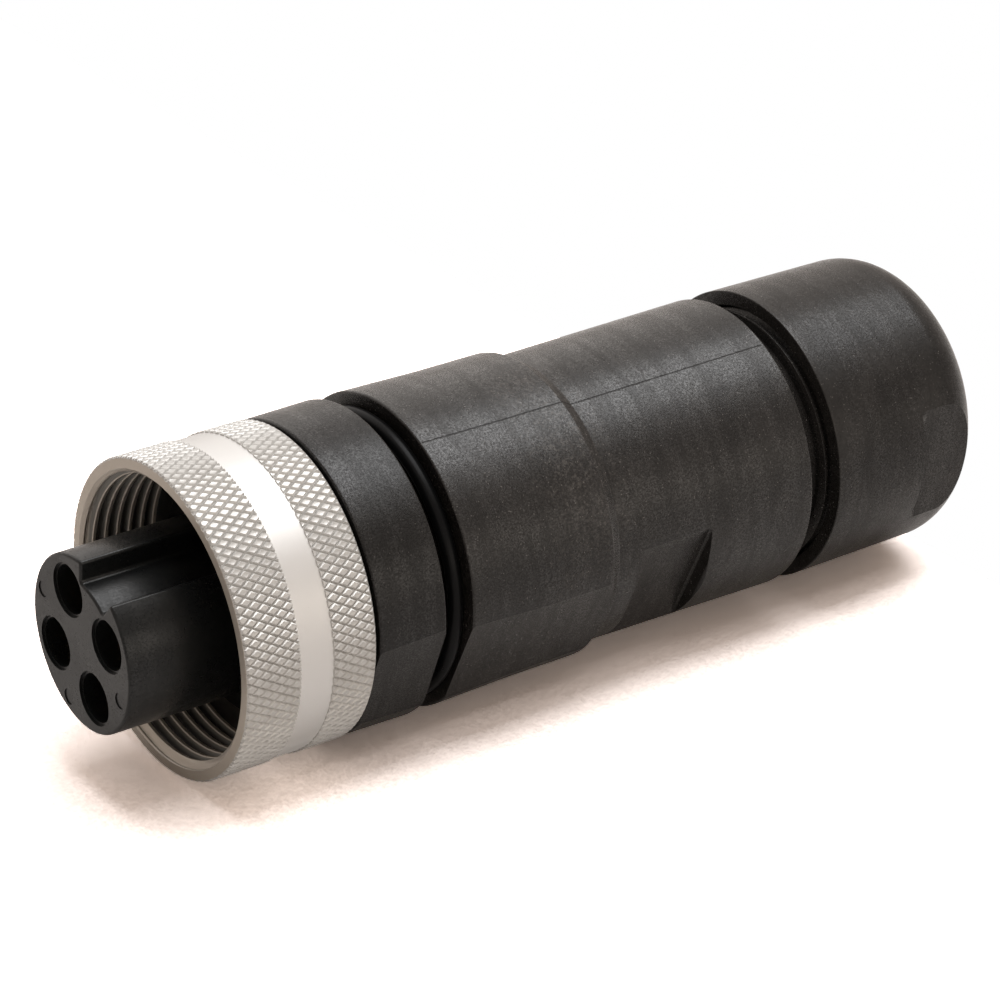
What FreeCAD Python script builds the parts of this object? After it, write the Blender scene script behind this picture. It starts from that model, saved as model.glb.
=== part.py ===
"""Threaded round power connector socket for a cable, four poles.

Millimetres. The connector stands on the flat rear end of its gland nut at z = 0, and its socket face
looks up along +Z. The keyway of the nose faces -Y. Heights are worked out upwards from the gland nut.
"""
import FreeCAD, Part
import math
import os

from FreeCAD import Vector

AXIS = Vector(0, 0, 1)
ORIGIN = Vector(0, 0, 0)

# Lengths along the axis
gland_length = 23.6
gland_gap = 4.1
shell_slim_length = 28.4
shell_wide_length = 21.3
seal_gap = 3.6
collar_length = 8.9
nut_gap = 0.5
nut_length = 16.8
nose_reach = 9.85

# Clearances
running_clearance = 0.3
thread_clearance = 0.1
seat_clearance = 0.05

# Coupling nut
nut_thread_depth = 0.9
nut_thread_length = 9.7
nut_wall = 2.32
nut_band_recess = 0.22
nut_edge_chamfer = 0.26
nut_front_knurl = 6.9
nut_plain_band = 4.3
nut_mouth_chamfer = 0.9
nut_lip_length = 3.8

# Ring that holds the coupling nut on the hub of the collar
ring_thickness = 1.1
ring_play = 0.25
ring_groove_depth = 0.9
ring_rim_gap = 1.25
ring_opening_deg = 24.0
ring_shoulder = 1.1

# Contact insert
hub_gap = 2.0
hub_wall = 2.35
nose_shoulder = 1.7
nose_edge_rounding = 0.35
key_depth = 2.65
key_half_angle_deg = 18.5
key_corner_rounding = 0.5
key_rim_rounding = 0.35
key_angle_deg = -90.0
nose_rim_width = 4.28
contact_bore_gap = 0.15
contact_rim_width = 0.3
contact_rim_depth = 0.35
pole_count = 4
ejector_radius = 0.95
ejector_inset = 1.7
ejector_depth = 0.12
insert_seal_section = 0.9
insert_seal_drop = 8.0

# Front seal
face_seal_thickness = 1.2
face_seal_margin = 0.9

# Collar
collar_setback = 0.12
collar_taper = 0.12
collar_edge_rounding = 0.35
collar_flat_depth = 1.0
collar_lip = 2.2
spigot_engagement = 9.5

# Round seal ring seen between collar and shell
seal_ring_section = 0.9

# Rear shell
shell_setback = 0.18
shell_wide_taper = 0.25
shell_taper_length = 11.0
shell_step_height = 1.02
shell_step_angle_deg = 34.0
shell_step_rounding = 0.4
shell_slim_taper = 0.35
shell_edge_rounding = 0.3
shell_socket_wall = 2.92
shell_slim_wall = 3.3
shell_flat_depth = 0.97
shell_flat_angle_deg = 176.5
pocket_depth = 1.8
pocket_top_drop = 3.0
pocket_length = 10.4
pocket_floor_rounding = 0.4
pocket_rim_rounding = 0.6
neck_wall = 3.15
neck_edge_chamfer = 0.8
neck_relief_depth = 1.4
neck_thread_rise = 0.65
seal_ledge_thickness = 2.5
seal_ledge_width = 3.1

# Terminals: the pin that enters a contact sets every radius from here outwards
block_flange_thickness = 2.0
block_stem_length = 4.1
block_gap = 1.5
block_length = 14.0
contact_pin_radius = 2.05
contact_wall = 0.7
contact_pin_depth = 16.0
contact_recess = 4.0
contact_slot_width = 0.6
contact_slot_depth = 9.0
barrel_step = 0.65
barrel_web = 2.0
barrel_wall = 1.2
barrel_length = 13.0
barrel_wire_depth = 9.0
screw_radius = 1.65
screw_head_overhang = 0.65
screw_head_height = 1.9
screw_slot_width = 0.7
screw_slot_depth = 0.9
screw_height_in_barrel = 4.5

# Gland nut and what it presses on the cable
gland_overhang = 0.4
gland_taper = 0.25
gland_wall = 1.85
gland_rear_rounding = 6.0
gland_edge_rounding = 0.15
gland_flat_depth = 1.8
gland_flat_height = 9.4
gland_flat_run_out = 0.8
gland_flat_angle_deg = 17.0
gland_floor_wall = 1.5
gland_hole_margin = 2.0
gland_hole_chamfer = 0.8
gland_end_gap = 0.55
washer_thickness = 1.0
washer_margin = 0.6
clamp_ring_length = 6.5
cable_seal_length = 12.0
cable_seal_bevel = 2.4
cable_seal_wall = 6.1

# Radii worked out from the contact pin and the walls
contact_radius = contact_pin_radius + contact_wall
contact_bore_radius = contact_radius + contact_bore_gap
contact_rim_radius = contact_bore_radius + contact_rim_width
barrel_radius = contact_radius + barrel_step
barrel_wire_radius = barrel_radius - barrel_wall
contact_circle_radius = (barrel_radius + barrel_web / 2) / math.sin(math.pi / pole_count)
screw_head_radius = screw_radius + screw_head_overhang
nose_radius = contact_circle_radius + nose_rim_width
key_floor_radius = nose_radius - key_depth
ejector_circle_radius = nose_radius - ejector_inset
insert_radius = nose_radius + nose_shoulder
hub_radius = insert_radius + seat_clearance + hub_wall
nut_thread_crest_radius = hub_radius + hub_gap
nut_knurl_radius = nut_thread_crest_radius + nut_wall
nut_band_radius = nut_knurl_radius - nut_band_recess
nut_relief_radius = nut_thread_crest_radius + nut_thread_depth
collar_radius = nut_knurl_radius - collar_setback
collar_flat_distance = collar_radius - collar_flat_depth
shell_wide_radius = collar_radius - shell_setback
shell_slim_radius = shell_wide_radius - shell_step_height
shell_flat_distance = shell_wide_radius - shell_flat_depth
pocket_flat_distance = shell_slim_radius - pocket_depth
socket_radius = shell_wide_radius - shell_socket_wall
spigot_radius = socket_radius - thread_clearance
cavity_radius = shell_slim_radius - shell_slim_wall
gland_radius = shell_slim_radius + gland_overhang
gland_rear_radius = gland_radius - gland_taper
gland_flat_distance = gland_radius - gland_flat_depth
gland_thread_radius = gland_radius - gland_wall
neck_radius = gland_thread_radius - running_clearance
neck_relief_radius = neck_radius - neck_relief_depth
neck_bore_radius = neck_radius - neck_wall
seal_ledge_radius = neck_bore_radius - seal_ledge_width
cable_seal_hole_radius = neck_bore_radius - cable_seal_wall
gland_hole_radius = cable_seal_hole_radius + gland_hole_margin
washer_hole_radius = gland_hole_radius + washer_margin
block_radius = cavity_radius - block_gap

# Heights worked out from the lengths
gland_top = gland_length
gland_floor = gland_flat_height + gland_floor_wall
gland_travel = gland_gap - gland_end_gap
shell_bottom = gland_top + gland_gap
shell_step = shell_bottom + shell_slim_length
shell_top = shell_step + shell_wide_length
collar_bottom = shell_top + seal_gap
collar_top = collar_bottom + collar_length
nut_bottom = collar_top + nut_gap
nut_top = nut_bottom + nut_length
nose_top = nut_top + nose_reach
lip_top = nut_bottom + nut_lip_length
ring_bottom = lip_top + ring_play
ring_top = ring_bottom + ring_thickness
hub_top = ring_top + seat_clearance + ring_shoulder
seal_floor = hub_top + face_seal_thickness
flange_top = hub_top - collar_lip
spigot_bottom = shell_top - spigot_engagement
insert_bottom = spigot_bottom + block_stem_length
block_shoulder = spigot_bottom - block_flange_thickness
block_bottom = block_shoulder - block_length
contact_top = nose_top - contact_recess
washer_bottom = gland_floor + seat_clearance
washer_top = washer_bottom + washer_thickness
neck_bottom = washer_top + gland_travel + running_clearance
neck_thread_top = gland_top + neck_thread_rise
clamp_ring_top = washer_top + clamp_ring_length
seal_ledge = clamp_ring_top + cable_seal_length
cavity_bottom = seal_ledge + seal_ledge_thickness
barrel_bottom = insert_bottom - barrel_length
screw_height = barrel_bottom + screw_height_in_barrel


def corner_arc(before, corner, after, rounding):
    """Return the start, middle and end of the arc that rounds a corner of a profile."""
    to_before = (before - corner).normalize()
    to_after = (after - corner).normalize()
    half_angle = to_before.getAngle(to_after) / 2
    reach = rounding / math.tan(half_angle)
    bisector = (to_before + to_after).normalize()
    centre = corner + bisector * (rounding / math.sin(half_angle))
    return corner + to_before * reach, centre - bisector * rounding, corner + to_after * reach


def profile_face(corners):
    """Return the face in a closed profile of (distance, height) or (distance, height, rounding) corners."""
    points = [Vector(corner[0], 0, corner[1]) for corner in corners]
    roundings = [corner[2] if len(corner) > 2 else 0.0 for corner in corners]
    edges = []
    ends = []
    for index, point in enumerate(points):
        if roundings[index] > 0:
            before = points[index - 1]
            after = points[(index + 1) % len(points)]
            start, middle, end = corner_arc(before, point, after, roundings[index])
            edges.append(Part.Arc(start, middle, end).toShape())
            ends.append((start, end))
        else:
            ends.append((point, point))
    for index, (_, leave) in enumerate(ends):
        arrive = ends[(index + 1) % len(ends)][0]
        edges.append(Part.LineSegment(leave, arrive).toShape())
    return Part.Face(Part.Wire(Part.sortEdges(edges)[0]))


def turned(corners):
    """Revolve a closed profile about the axis."""
    return profile_face(corners).revolve(ORIGIN, AXIS, 360)


def ring(inner, outer, bottom, top):
    """Return a plain ring with square corners."""
    return turned([(inner, bottom), (outer, bottom), (outer, top), (inner, top)])


def upright(radius, bottom, top, x=0.0, y=0.0):
    """Return an upright cylinder."""
    return Part.makeCylinder(radius, top - bottom, Vector(x, y, bottom))


def on_circle(radius, angle_deg):
    """Return the place at an angle on a circle round the axis."""
    angle = math.radians(angle_deg)
    return radius * math.cos(angle), radius * math.sin(angle)


def flat_profile(distance, bottom, top, reach):
    """Return the corners of what a plain flat takes away."""
    return [(distance, bottom), (reach, bottom), (reach, top), (distance, top)]


def cut_pair(solid, corners, angle_deg, reach):
    """Cut a profile of (distance, height) corners right across the solid, on two opposite sides."""
    for turn in (0.0, 180.0):
        cutter = profile_face(corners).extrude(Vector(0, 2 * reach, 0))
        cutter.translate(Vector(0, -reach, 0))
        solid = solid.cut(cutter.rotate(ORIGIN, AXIS, angle_deg + turn))
    return solid


def pole_angles():
    """Return the angles of the contacts, half a pitch from the keyway."""
    pitch = 360.0 / pole_count
    return [key_angle_deg + (index + 0.5) * pitch for index in range(pole_count)]


def sector(inner, outer, half_angle_deg, bottom, top):
    """Return a sector between two radii, centred on +X."""
    left = -half_angle_deg
    near_start = Vector(*on_circle(inner, left), bottom)
    near_end = Vector(*on_circle(inner, half_angle_deg), bottom)
    far_start = Vector(*on_circle(outer, left), bottom)
    far_end = Vector(*on_circle(outer, half_angle_deg), bottom)
    wire = Part.Wire([
        Part.Arc(near_start, Vector(inner, 0, bottom), near_end).toShape(),
        Part.makeLine(near_end, far_end),
        Part.Arc(far_end, Vector(outer, 0, bottom), far_start).toShape(),
        Part.makeLine(far_start, near_start),
    ])
    return Part.Face(wire).extrude(Vector(0, 0, top - bottom))


def coupling_nut():
    """Turned nut with an inner thread, a lip behind the holding ring and a plain band in its knurl."""
    band_top = nut_top - nut_front_knurl
    band_bottom = band_top - nut_plain_band
    edge_radius = nut_knurl_radius - nut_edge_chamfer
    mouth_radius = nut_thread_crest_radius + nut_mouth_chamfer
    thread_bottom = nut_top - nut_thread_length
    lip_radius = hub_radius + running_clearance
    return turned([
        (lip_radius, nut_bottom),
        (edge_radius, nut_bottom),
        (nut_knurl_radius, nut_bottom + nut_edge_chamfer),
        (nut_knurl_radius, band_bottom),
        (nut_band_radius, band_bottom),
        (nut_band_radius, band_top),
        (nut_knurl_radius, band_top),
        (nut_knurl_radius, nut_top - nut_edge_chamfer),
        (edge_radius, nut_top),
        (mouth_radius, nut_top),
        (nut_thread_crest_radius, nut_top - nut_mouth_chamfer),
        (nut_thread_crest_radius, thread_bottom),
        (nut_relief_radius, thread_bottom),
        (nut_relief_radius, lip_top),
        (lip_radius, lip_top),
    ])


def nut_holding_ring():
    """Open ring that snaps into the groove of the hub."""
    inner = hub_radius - ring_groove_depth + seat_clearance
    outer = nut_relief_radius - ring_rim_gap
    whole = ring(inner, outer, ring_bottom, ring_top)
    opening = sector(inner / 2, 2 * outer, ring_opening_deg / 2, ring_bottom, ring_top)
    opening.rotate(ORIGIN, AXIS, -key_angle_deg)
    return whole.cut(opening)


def keyway():
    """Slot for the key of the mating plug, with rounded floor corners, along the nose."""
    slot = sector(key_floor_radius, 2 * nose_radius, key_half_angle_deg, seal_floor, 2 * nose_top)
    slot = slot.makeFillet(key_corner_rounding, upright_edges(slot, key_floor_radius))
    return slot.rotate(ORIGIN, AXIS, key_angle_deg)


def upright_edges(solid, radius):
    """Return the straight edges that run along the axis at this distance from it."""
    found = []
    for edge in solid.Edges:
        if isinstance(edge.Curve, Part.Line):
            start, end = (vertex.Point for vertex in edge.Vertexes)
            runs_up = abs(start.x - end.x) + abs(start.y - end.y) < seat_clearance
            if runs_up and abs(math.hypot(start.x, start.y) - radius) < seat_clearance:
                found.append(edge)
    return found


def contact_insert():
    """Moulded insert: nose with keyway and contact bores, flange, seal groove and tail."""
    groove_middle = flange_top - insert_seal_drop
    groove_radius = insert_radius - 2 * insert_seal_section
    body = turned([
        (0, insert_bottom),
        (insert_radius, insert_bottom),
        (insert_radius, groove_middle - insert_seal_section - seat_clearance),
        (groove_radius, groove_middle - insert_seal_section - seat_clearance),
        (groove_radius, groove_middle + insert_seal_section + seat_clearance),
        (insert_radius, groove_middle + insert_seal_section + seat_clearance),
        (insert_radius, flange_top - seat_clearance),
        (nose_radius, flange_top - seat_clearance),
        (nose_radius, nose_top, nose_edge_rounding),
        (0, nose_top),
    ])
    body = body.cut(keyway())
    rim_edges = [edge for edge in upright_edges(body, nose_radius) if edge.BoundBox.ZMin > flange_top]
    body = body.makeFillet(key_rim_rounding, rim_edges)
    for angle in pole_angles():
        x, y = on_circle(contact_circle_radius, angle)
        bore = upright(contact_bore_radius, insert_bottom, nose_top, x, y)
        rim = upright(contact_rim_radius, nose_top - contact_rim_depth, nose_top, x, y)
        body = body.cut(bore.fuse(rim))
    for turn in (90.0, 180.0, 270.0):
        x, y = on_circle(ejector_circle_radius, key_angle_deg + turn)
        body = body.cut(upright(ejector_radius, nose_top - ejector_depth, nose_top, x, y))
    return body


def insert_seal():
    """Round seal in the groove of the insert."""
    middle = flange_top - insert_seal_drop
    centre_radius = insert_radius + seat_clearance - insert_seal_section
    return Part.makeTorus(centre_radius, insert_seal_section, Vector(0, 0, middle))


def face_seal():
    """Flat seal round the nose, on the end of the hub."""
    return ring(nose_radius + seat_clearance, hub_radius - face_seal_margin, hub_top, seal_floor)


def front_collar():
    """Moulded collar: hub for the nut, gripping band with two flats and threaded spigot."""
    bore_radius = insert_radius + seat_clearance
    groove_radius = hub_radius - ring_groove_depth
    body = turned([
        (bore_radius, spigot_bottom),
        (spigot_radius, spigot_bottom),
        (spigot_radius, collar_bottom),
        (collar_radius + collar_taper, collar_bottom, collar_edge_rounding),
        (collar_radius, collar_top, collar_edge_rounding),
        (hub_radius, collar_top),
        (hub_radius, ring_bottom - seat_clearance),
        (groove_radius, ring_bottom - seat_clearance),
        (groove_radius, ring_top + seat_clearance),
        (hub_radius, ring_top + seat_clearance),
        (hub_radius, hub_top),
        (nose_radius + seat_clearance, hub_top),
        (nose_radius + seat_clearance, flange_top),
        (bore_radius, flange_top),
    ])
    reach = 2 * collar_radius
    flat = flat_profile(collar_flat_distance, collar_bottom, collar_top, reach)
    return cut_pair(body, flat, key_angle_deg + 90.0, reach)


def collar_seal_ring():
    """Round seal ring on the spigot, against the end of the shell."""
    centre_radius = spigot_radius + seat_clearance + seal_ring_section
    middle = shell_top + seat_clearance + seal_ring_section
    return Part.makeTorus(centre_radius, seal_ring_section, Vector(0, 0, middle))


def rear_shell():
    """Moulded shell: wide front on the spigot, slim rear, gripping flats and threaded neck."""
    crown = shell_step + shell_step_height / math.tan(math.radians(shell_step_angle_deg))
    body = turned([
        (neck_bore_radius, neck_bottom),
        (neck_radius - neck_edge_chamfer, neck_bottom),
        (neck_radius, neck_bottom + neck_edge_chamfer),
        (neck_radius, neck_thread_top),
        (neck_relief_radius, neck_thread_top),
        (neck_relief_radius, shell_bottom),
        (slim_radius_at(shell_bottom), shell_bottom, shell_edge_rounding),
        (shell_slim_radius, shell_step, shell_step_rounding),
        (shell_wide_radius, crown, shell_step_rounding),
        (shell_wide_radius, shell_top - shell_taper_length),
        (shell_wide_radius + shell_wide_taper, shell_top, shell_edge_rounding),
        (socket_radius, shell_top),
        (socket_radius, block_shoulder),
        (cavity_radius, block_shoulder),
        (cavity_radius, cavity_bottom),
        (seal_ledge_radius, cavity_bottom),
        (seal_ledge_radius, seal_ledge),
        (neck_bore_radius, seal_ledge),
    ])
    reach = 2 * shell_wide_radius
    angle = shell_flat_angle_deg
    body = cut_pair(body, flat_profile(shell_flat_distance, shell_step, shell_top, reach), angle, reach)
    return cut_pair(body, pocket_profile(reach), angle, reach)


def slim_radius_at(height):
    """Return the radius of the slim rear, which grows a little towards the gland."""
    return shell_slim_radius + shell_slim_taper * (shell_step - height) / shell_slim_length


def pocket_profile(reach):
    """Return the corners of a pocket flat in the slim rear, with soft edges at both ends."""
    top = shell_step - pocket_top_drop
    bottom = top - pocket_length
    flare = 2 * pocket_rim_rounding
    rear_rim = slim_radius_at(bottom - flare) + seat_clearance
    front_rim = slim_radius_at(top) + seat_clearance
    return [
        (pocket_flat_distance, bottom, pocket_floor_rounding),
        (rear_rim, bottom, pocket_rim_rounding),
        (rear_rim, bottom - flare),
        (reach, bottom - flare),
        (reach, top + flare),
        (front_rim, top + flare),
        (front_rim, top, pocket_rim_rounding),
        (pocket_flat_distance, top, pocket_floor_rounding),
    ]


def terminal_block():
    """Insulating block behind the insert: a bore for each contact and a hole for each screw."""
    flange_radius = spigot_radius - seat_clearance
    stem_radius = insert_radius
    body = turned([
        (0, block_bottom),
        (block_radius, block_bottom),
        (block_radius, block_shoulder - seat_clearance),
        (flange_radius, block_shoulder + seat_clearance),
        (flange_radius, spigot_bottom - seat_clearance),
        (stem_radius, spigot_bottom - seat_clearance),
        (stem_radius, insert_bottom - seat_clearance),
        (0, insert_bottom - seat_clearance),
    ])
    for angle in pole_angles():
        x, y = on_circle(contact_circle_radius, angle)
        bore = upright(barrel_radius + seat_clearance, block_bottom, insert_bottom, x, y)
        body = body.cut(bore.fuse(radial_cylinder(screw_head_radius + 2 * seat_clearance, angle,
                                                  contact_circle_radius, 2 * block_radius)))
    return body


def radial_cylinder(radius, angle_deg, start, end):
    """Return a cylinder that points away from the axis at the height of the terminal screws."""
    x, y = on_circle(start, angle_deg)
    outwards = Vector(*on_circle(1.0, angle_deg), 0)
    return Part.makeCylinder(radius, end - start, Vector(x, y, screw_height), outwards)


def socket_contact(angle_deg):
    """Turned contact: slotted socket in front, barrel with a wire hole and a screw hole behind."""
    contact = turned([
        (0, barrel_bottom + barrel_wire_depth),
        (barrel_wire_radius, barrel_bottom + barrel_wire_depth),
        (barrel_wire_radius, barrel_bottom),
        (barrel_radius, barrel_bottom),
        (barrel_radius, insert_bottom - seat_clearance),
        (contact_radius, insert_bottom - seat_clearance),
        (contact_radius, contact_top),
        (contact_pin_radius, contact_top),
        (contact_pin_radius, contact_top - contact_pin_depth),
        (0, contact_top - contact_pin_depth),
    ])
    slot_corner = Vector(-2 * contact_radius, -contact_slot_width / 2, contact_top - contact_slot_depth)
    slot = Part.makeBox(4 * contact_radius, contact_slot_width, contact_slot_depth, slot_corner)
    contact = contact.cut(slot.rotate(ORIGIN, AXIS, angle_deg))
    contact.translate(Vector(*on_circle(contact_circle_radius, angle_deg), 0))
    return contact.cut(radial_cylinder(screw_radius + seat_clearance, angle_deg,
                                       contact_circle_radius, 2 * block_radius))


def terminal_screw(angle_deg):
    """Slotted screw that clamps the wire in the barrel of a contact."""
    head_start = contact_circle_radius + barrel_radius + seat_clearance
    tip = contact_circle_radius + running_clearance
    shank = radial_cylinder(screw_radius, angle_deg, tip, head_start)
    head = radial_cylinder(screw_head_radius, angle_deg, head_start, head_start + screw_head_height)
    slot = Part.makeBox(screw_slot_depth, screw_slot_width, 2 * barrel_length,
                        Vector(head_start + screw_head_height - screw_slot_depth, -screw_slot_width / 2,
                               screw_height - barrel_length))
    slot.rotate(ORIGIN, AXIS, angle_deg)
    return shank.fuse(head).removeSplitter().cut(slot)


def cable_seal():
    """Rubber sleeve that the gland squeezes on the cable."""
    return turned([
        (cable_seal_hole_radius, clamp_ring_top + cable_seal_bevel),
        (cable_seal_hole_radius + cable_seal_bevel, clamp_ring_top),
        (neck_bore_radius - seat_clearance, clamp_ring_top),
        (neck_bore_radius - seat_clearance, seal_ledge),
        (cable_seal_hole_radius, seal_ledge),
    ])


def clamp_ring():
    """Ring that slides in the neck and presses the cable seal."""
    outer = neck_bore_radius - running_clearance
    return turned([
        (washer_hole_radius, washer_top),
        (outer, washer_top),
        (outer, clamp_ring_top - seat_clearance),
        (washer_hole_radius, clamp_ring_top - seat_clearance),
    ])


def thrust_washer():
    """Flat washer between the gland nut and the clamp ring."""
    outer = neck_radius - running_clearance
    return ring(washer_hole_radius, outer, washer_bottom, washer_top)


def gland_nut():
    """Moulded cap nut: threaded on the neck, large rear rounding, cable hole and two flats."""
    body = turned([
        (gland_hole_radius + gland_hole_chamfer, 0),
        (gland_rear_radius, 0, gland_rear_rounding),
        (gland_radius, gland_top, gland_edge_rounding),
        (gland_thread_radius + gland_edge_rounding, gland_top),
        (gland_thread_radius, gland_top - gland_edge_rounding),
        (gland_thread_radius, gland_floor),
        (gland_hole_radius, gland_floor),
        (gland_hole_radius, gland_hole_chamfer),
    ])
    run_out = gland_flat_height + gland_flat_run_out
    reach = 2 * gland_radius
    flat = [
        (gland_flat_distance, 0),
        (reach, 0),
        (reach, run_out),
        (gland_radius, run_out),
        (gland_flat_distance, gland_flat_height),
    ]
    return cut_pair(body, flat, gland_flat_angle_deg, reach)


def all_pieces():
    """Return every piece of the connector by its name."""
    pieces = {
        "coupling_nut": coupling_nut(),
        "nut_holding_ring": nut_holding_ring(),
        "contact_insert": contact_insert(),
        "insert_seal": insert_seal(),
        "face_seal": face_seal(),
        "front_collar": front_collar(),
        "collar_seal_ring": collar_seal_ring(),
        "rear_shell": rear_shell(),
        "terminal_block": terminal_block(),
        "cable_seal": cable_seal(),
        "clamp_ring": clamp_ring(),
        "thrust_washer": thrust_washer(),
        "gland_nut": gland_nut(),
    }
    for number, angle in enumerate(pole_angles(), start=1):
        pieces[f"socket_contact_{number}"] = socket_contact(angle)
        pieces[f"terminal_screw_{number}"] = terminal_screw(angle)
    return pieces


os.makedirs("parts", exist_ok=True)
for name, piece in all_pieces().items():
    piece.exportStep(f"parts/{name}.step")
    print(name, "volume", round(piece.Volume, 1), "valid", piece.isValid(), "solids", len(piece.Solids))
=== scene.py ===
"""Looks of a round cable-mounted power socket with a knurled coupling nut.

Lengths in the classes are in millimetres. A mesh is scaled to metres when its piece is made.
"""
import logging
import math
from dataclasses import dataclass
from enum import Enum
from typing import Sequence

import bmesh
import bpy
from mathutils import Matrix, Vector


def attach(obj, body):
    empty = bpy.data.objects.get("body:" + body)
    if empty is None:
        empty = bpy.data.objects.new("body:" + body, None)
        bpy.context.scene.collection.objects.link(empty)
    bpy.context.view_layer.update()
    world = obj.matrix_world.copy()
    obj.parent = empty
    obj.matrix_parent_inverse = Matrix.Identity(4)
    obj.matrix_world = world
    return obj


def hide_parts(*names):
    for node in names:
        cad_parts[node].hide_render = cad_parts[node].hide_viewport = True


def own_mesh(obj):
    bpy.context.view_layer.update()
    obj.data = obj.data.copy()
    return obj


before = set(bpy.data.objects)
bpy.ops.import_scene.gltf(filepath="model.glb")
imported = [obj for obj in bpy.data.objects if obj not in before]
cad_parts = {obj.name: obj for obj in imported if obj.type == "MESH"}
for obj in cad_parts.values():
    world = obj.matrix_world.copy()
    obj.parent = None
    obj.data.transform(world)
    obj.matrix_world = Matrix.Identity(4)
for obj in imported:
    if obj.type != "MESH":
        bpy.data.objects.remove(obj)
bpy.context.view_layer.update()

MM = 0.001
FULL_TURN = 2.0 * math.pi
ORIGIN = (0, 0, 0)
AXIS = (0, 0, 1)
log = logging.getLogger("power_socket")

Number = int | float
Colour = tuple[float, float, float]
Socket = bpy.types.NodeSocket
Material = bpy.types.Material
Object = bpy.types.Object
BMesh = bmesh.types.BMesh
BMVert = bmesh.types.BMVert
BMEdge = bmesh.types.BMEdge


class Body(Enum):
    """The bodies that the pieces ride on."""

    CONNECTOR = "connector"
    COUPLING_NUT = "coupling_nut"
    GLAND_NUT = "gland_nut"


class Slot(Enum):
    """The material slots named when the pieces are made; nothing reads them."""

    NUT_METAL = "nut_metal"
    HOUSING = "housing_moulding"
    INSERT = "insert_moulding"
    RUBBER = "seal_rubber"


# Shader graphs


class Value:
    """A number socket that takes part in Python expressions."""

    def __init__(self, graph: "Graph", socket: Socket) -> None:
        """Wrap an output socket of a graph."""
        self.graph = graph
        self.socket = socket

    def math(self, operation: str, *others: "Value | Number") -> "Value":
        """Return the result of a Math node with this value as its first number."""
        return self.graph.math(operation, self, *others)

    def __add__(self, other: "Value | Number") -> "Value":
        """Add."""
        return self.math("ADD", other)

    __radd__ = __add__

    def __sub__(self, other: "Value | Number") -> "Value":
        """Subtract."""
        return self.math("SUBTRACT", other)

    def __rsub__(self, other: Number) -> "Value":
        """Subtract from a number."""
        return self.graph.math("SUBTRACT", other, self)

    def __mul__(self, other: "Value | Number") -> "Value":
        """Multiply."""
        return self.math("MULTIPLY", other)

    __rmul__ = __mul__

    def __pow__(self, other: Number) -> "Value":
        """Raise to a power."""
        return self.math("POWER", other)

    def __abs__(self) -> "Value":
        """Drop the sign."""
        return self.math("ABSOLUTE")

    def rise(self, low: Number, high: Number) -> "Value":
        """Return a smooth step from 0 at low to 1 at high."""
        node = self.graph.node("ShaderNodeMapRange", {"interpolation_type": "SMOOTHSTEP"},
                               {"Value": self, "From Min": low, "From Max": high})
        return self.graph.value(node, "Result")

    def inside(self, low: Number, high: Number, soft: Number) -> "Value":
        """Return 1 between low and high, with edges that reach soft to either side."""
        return self.rise(low - soft, low + soft) * (1 - self.rise(high - soft, high + soft))


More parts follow.
